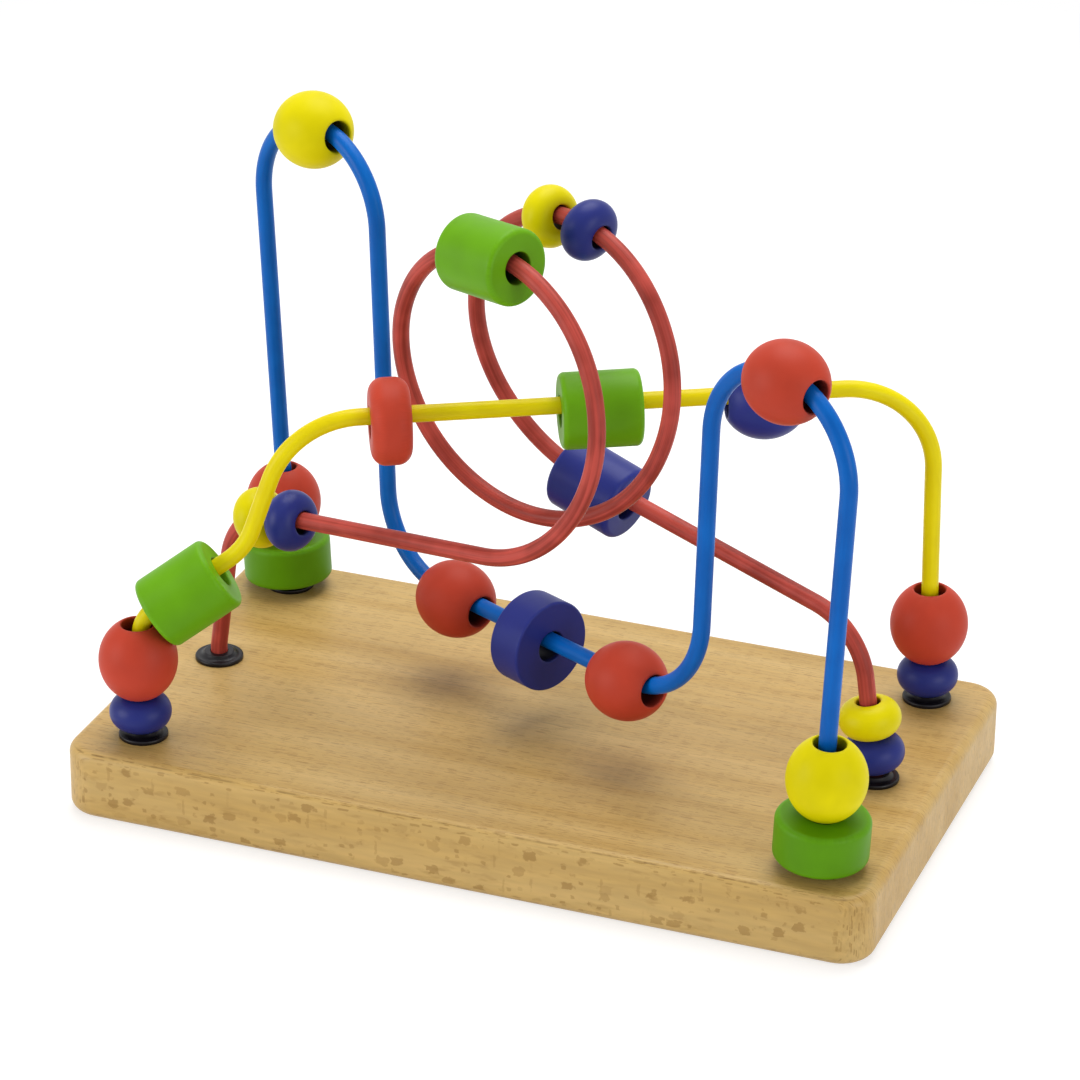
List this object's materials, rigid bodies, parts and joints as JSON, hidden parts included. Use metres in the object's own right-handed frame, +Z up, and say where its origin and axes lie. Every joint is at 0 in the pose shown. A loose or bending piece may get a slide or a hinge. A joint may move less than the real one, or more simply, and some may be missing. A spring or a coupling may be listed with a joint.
{
  "type": "bead maze",
  "caption": "Wooden bead maze: bent coated wires stand on a beech board in black bushes, and painted wooden beads slide along their arches, runs and loops.",
  "frame": {"origin": "middle of the board's underside", "axes": "+X along the board's length, +Y towards its back long side, +Z up; the front long side faces -Y"},
  "size_m": [0.264, 0.152, 0.2022],
  "materials": {
    "beech": "satin lacquer",
    "bush_black": "moulded, glossy",
    "blue_coat": "plastic-coated steel, glossy",
    "yellow_coat": "plastic-coated steel, glossy",
    "red_coat": "plastic-coated steel, satin",
    "red_paint": "satin paint",
    "yellow_paint": "satin paint",
    "green_paint": "satin paint",
    "navy_paint": "satin paint"
  },
  "bodies": {
    "stand": {"base_board": "beech", "front_left_bush": "bush_black", "back_left_bush": "bush_black", "left_bush": "bush_black", "front_right_bush": "bush_black", "back_right_bush": "bush_black", "right_bush": "bush_black", "blue_wire": "blue_coat", "yellow_wire": "yellow_coat", "red_wire": "red_coat"},
    "back_left_green_disc_body": {"back_left_green_disc": "green_paint"},
    "back_left_red_ball_body": {"back_left_red_ball": "red_paint"},
    "tall_arch_yellow_ball_body": {"tall_arch_yellow_ball": "yellow_paint"},
    "dip_left_red_ball_body": {"dip_left_red_ball": "red_paint"},
    "dip_navy_disc_body": {"dip_navy_disc": "navy_paint"},
    "dip_right_red_ball_body": {"dip_right_red_ball": "red_paint"},
    "low_arch_red_ball_body": {"low_arch_red_ball": "red_paint"},
    "front_right_yellow_ball_body": {"front_right_yellow_ball": "yellow_paint"},
    "front_right_green_disc_body": {"front_right_green_disc": "green_paint"},
    "front_left_blue_oval_body": {"front_left_blue_oval": "navy_paint"},
    "front_left_red_ball_body": {"front_left_red_ball": "red_paint"},
    "front_left_green_barrel_body": {"front_left_green_barrel": "green_paint"},
    "yellow_run_red_wheel_body": {"yellow_run_red_wheel": "red_paint"},
    "yellow_run_green_barrel_body": {"yellow_run_green_barrel": "green_paint"},
    "yellow_run_blue_ball_body": {"yellow_run_blue_ball": "navy_paint"},
    "back_right_red_ball_body": {"back_right_red_ball": "red_paint"},
    "back_right_blue_oval_body": {"back_right_blue_oval": "navy_paint"},
    "left_bend_yellow_oval_body": {"left_bend_yellow_oval": "yellow_paint"},
    "left_run_blue_oval_body": {"left_run_blue_oval": "navy_paint"},
    "front_loop_green_barrel_body": {"front_loop_green_barrel": "green_paint"},
    "back_loop_yellow_oval_body": {"back_loop_yellow_oval": "yellow_paint"},
    "back_loop_blue_oval_body": {"back_loop_blue_oval": "navy_paint"},
    "right_run_navy_barrel_body": {"right_run_navy_barrel": "navy_paint"},
    "right_leg_yellow_oval_body": {"right_leg_yellow_oval": "yellow_paint"},
    "right_leg_blue_oval_body": {"right_leg_blue_oval": "navy_paint"}
  },
  "joints": [
    {"name": "back_left_green_disc_slide", "type": "slide", "parent": "stand", "child": "back_left_green_disc_body", "axis": [-0.068, 0.0352, 0.9971], "range_m": [0, 0.04]},
    {"name": "back_left_red_ball_slide", "type": "slide", "parent": "back_left_green_disc_body", "child": "back_left_red_ball_body", "axis": [-0.068, 0.0352, 0.9971], "range_m": [0, 0.05]},
    {"name": "tall_arch_yellow_ball_swing", "type": "hinge", "parent": "stand", "child": "tall_arch_yellow_ball_body", "pos_m": [-0.09482, 0.04912, 0.1634], "axis": [0.46, 0.8879, 0], "range_deg": [-55, 60]},
    {"name": "dip_left_red_ball_slide", "type": "slide", "parent": "stand", "child": "dip_left_red_ball_body", "axis": [0.8878, -0.4599, 0.0173], "range_m": [0, 0.01]},
    {"name": "dip_navy_disc_slide", "type": "slide", "parent": "stand", "child": "dip_navy_disc_body", "axis": [0.8878, -0.4599, 0.0173], "range_m": [-0.01, 0.01]},
    {"name": "dip_right_red_ball_slide", "type": "slide", "parent": "stand", "child": "dip_right_red_ball_body", "axis": [0.8878, -0.4599, 0.0173], "range_m": [-0.011, 0]},
    {"name": "low_arch_red_ball_swing", "type": "hinge", "parent": "stand", "child": "low_arch_red_ball_body", "pos_m": [0.09135, -0.04732, 0.1472], "axis": [0.46, 0.8879, 0], "range_deg": [-58, 55]},
    {"name": "front_right_green_disc_slide", "type": "slide", "parent": "stand", "child": "front_right_green_disc_body", "axis": [0.0469, -0.0243, 0.9986], "range_m": [0, 0.035]},
    {"name": "front_right_yellow_ball_slide", "type": "slide", "parent": "front_right_green_disc_body", "child": "front_right_yellow_ball_body", "axis": [0.0469, -0.0243, 0.9986], "range_m": [0, 0.04]},
    {"name": "front_left_blue_oval_spin", "type": "hinge", "parent": "stand", "child": "front_left_blue_oval_body", "pos_m": [-0.11162, -0.05782, 0.0276], "axis": [0, 0, 1], "continuous": true},
    {"name": "front_left_red_ball_spin", "type": "hinge", "parent": "stand", "child": "front_left_red_ball_body", "pos_m": [-0.1118, -0.05791, 0.0276], "axis": [0, 0, 1], "continuous": true},
    {"name": "front_left_green_barrel_slide", "type": "slide", "parent": "stand", "child": "front_left_green_barrel_body", "axis": [0.733, 0.3797, 0.5644], "range_m": [0, 0.006]},
    {"name": "yellow_run_red_wheel_slide", "type": "slide", "parent": "stand", "child": "yellow_run_red_wheel_body", "axis": [0.8877, 0.4599, 0.0205], "range_m": [-0.006, 0.021]},
    {"name": "yellow_run_green_barrel_slide", "type": "slide", "parent": "stand", "child": "yellow_run_green_barrel_body", "axis": [0.8877, 0.4599, 0.0205], "range_m": [-0.021, 0.012]},
    {"name": "yellow_run_blue_ball_slide", "type": "slide", "parent": "stand", "child": "yellow_run_blue_ball_body", "axis": [0.8877, 0.4599, 0.0205], "range_m": [-0.012, 0.016]},
    {"name": "back_right_blue_oval_slide", "type": "slide", "parent": "stand", "child": "back_right_blue_oval_body", "axis": [-0.0185, -0.0096, 0.9998], "range_m": [0, 0.02]},
    {"name": "back_right_red_ball_slide", "type": "slide", "parent": "back_right_blue_oval_body", "child": "back_right_red_ball_body", "axis": [-0.0185, -0.0096, 0.9998], "range_m": [0, 0.02]},
    {"name": "left_bend_yellow_oval_swing", "type": "hinge", "parent": "stand", "child": "left_bend_yellow_oval_body", "pos_m": [-0.08479, -0.00776, 0.05738], "axis": [0.3277, 0.9439, -0.0423], "range_deg": [-40, 0]},
    {"name": "left_run_blue_oval_slide", "type": "slide", "parent": "stand", "child": "left_run_blue_oval_body", "axis": [0.9366, -0.3186, 0.1457], "range_m": [0, 0.065]},
    {"name": "front_loop_green_barrel_swing", "type": "hinge", "parent": "stand", "child": "front_loop_green_barrel_body", "pos_m": [-0.00867, -0.01758, 0.13923], "axis": [-0.4418, -0.897, 0.0143], "range_deg": [-30, 30]},
    {"name": "back_loop_yellow_oval_swing", "type": "hinge", "parent": "stand", "child": "back_loop_yellow_oval_body", "pos_m": [0.00352, 0.01799, 0.14017], "axis": [-0.441, -0.8973, -0.0209], "range_deg": [-2.5, 35]},
    {"name": "back_loop_blue_oval_swing", "type": "hinge", "parent": "stand", "child": "back_loop_blue_oval_body", "pos_m": [0.00213, 0.01349, 0.14001], "axis": [-0.4177, -0.9053, 0.0769], "range_deg": [-38, 2.5]},
    {"name": "right_run_navy_barrel_slide", "type": "slide", "parent": "stand", "child": "right_run_navy_barrel_body", "axis": [0.9353, -0.3073, -0.1756], "range_m": [0, 0.065]},
    {"name": "right_leg_blue_oval_slide", "type": "slide", "parent": "stand", "child": "right_leg_blue_oval_body", "axis": [-0.1387, 0, 0.9903], "range_m": [0, 0.005]},
    {"name": "right_leg_yellow_oval_slide", "type": "slide", "parent": "right_leg_blue_oval_body", "child": "right_leg_yellow_oval_body", "axis": [-0.1387, 0, 0.9903], "range_m": [0, 0.005]}
  ]
}
